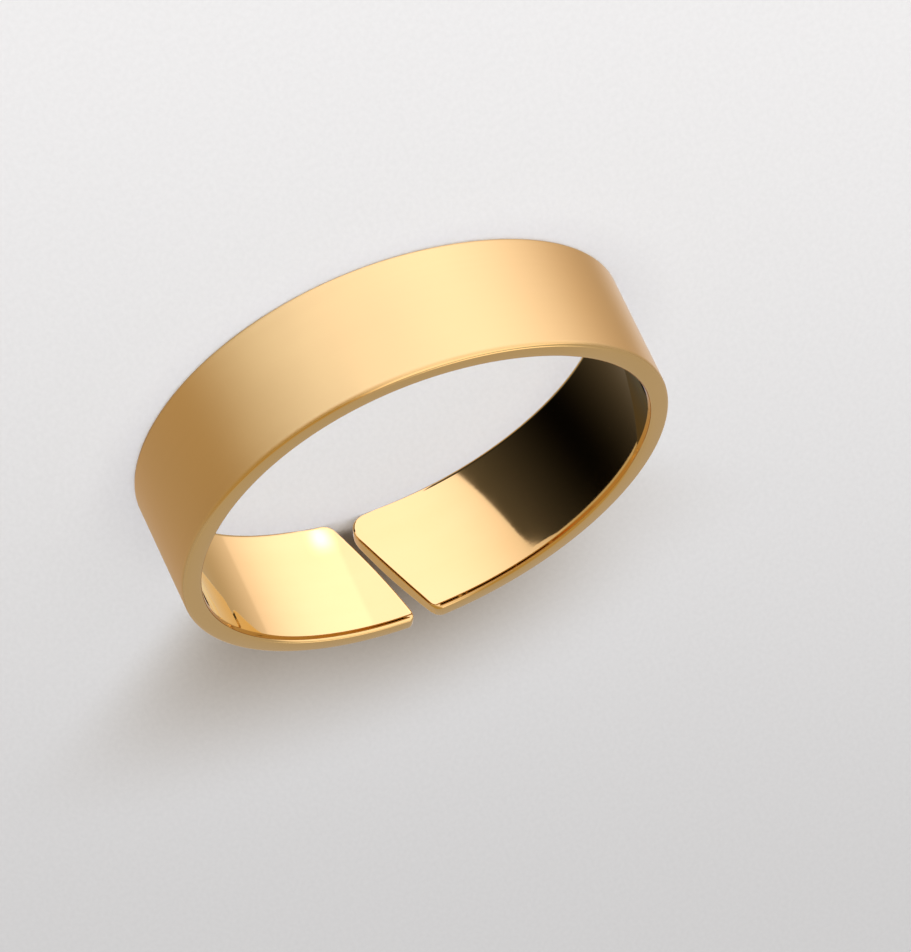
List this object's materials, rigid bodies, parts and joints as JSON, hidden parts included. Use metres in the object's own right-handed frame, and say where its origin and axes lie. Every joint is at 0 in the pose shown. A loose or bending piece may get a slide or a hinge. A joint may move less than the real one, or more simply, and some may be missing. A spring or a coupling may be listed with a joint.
{
  "type": "open cuff ring",
  "caption": "Plain flat-band finger ring, left open at the back by a slanted slit so that it can be sprung wider or narrower.",
  "frame": {"origin": "centre of the rim that the ring rests on, on the axis of the finger hole", "axes": "+Z along the axis of the finger hole, away from the floor, and +Y towards the gap at the back of the band"},
  "size_m": [0.0185, 0.0184, 0.0046],
  "materials": {
    "gold_plated_brass": "satin, brushed around the outside of the band, and polished on the inside and the edges"
  },
  "bodies": {
    "root": {"cuff_band": "gold_plated_brass"}
  },
  "joints": []
}
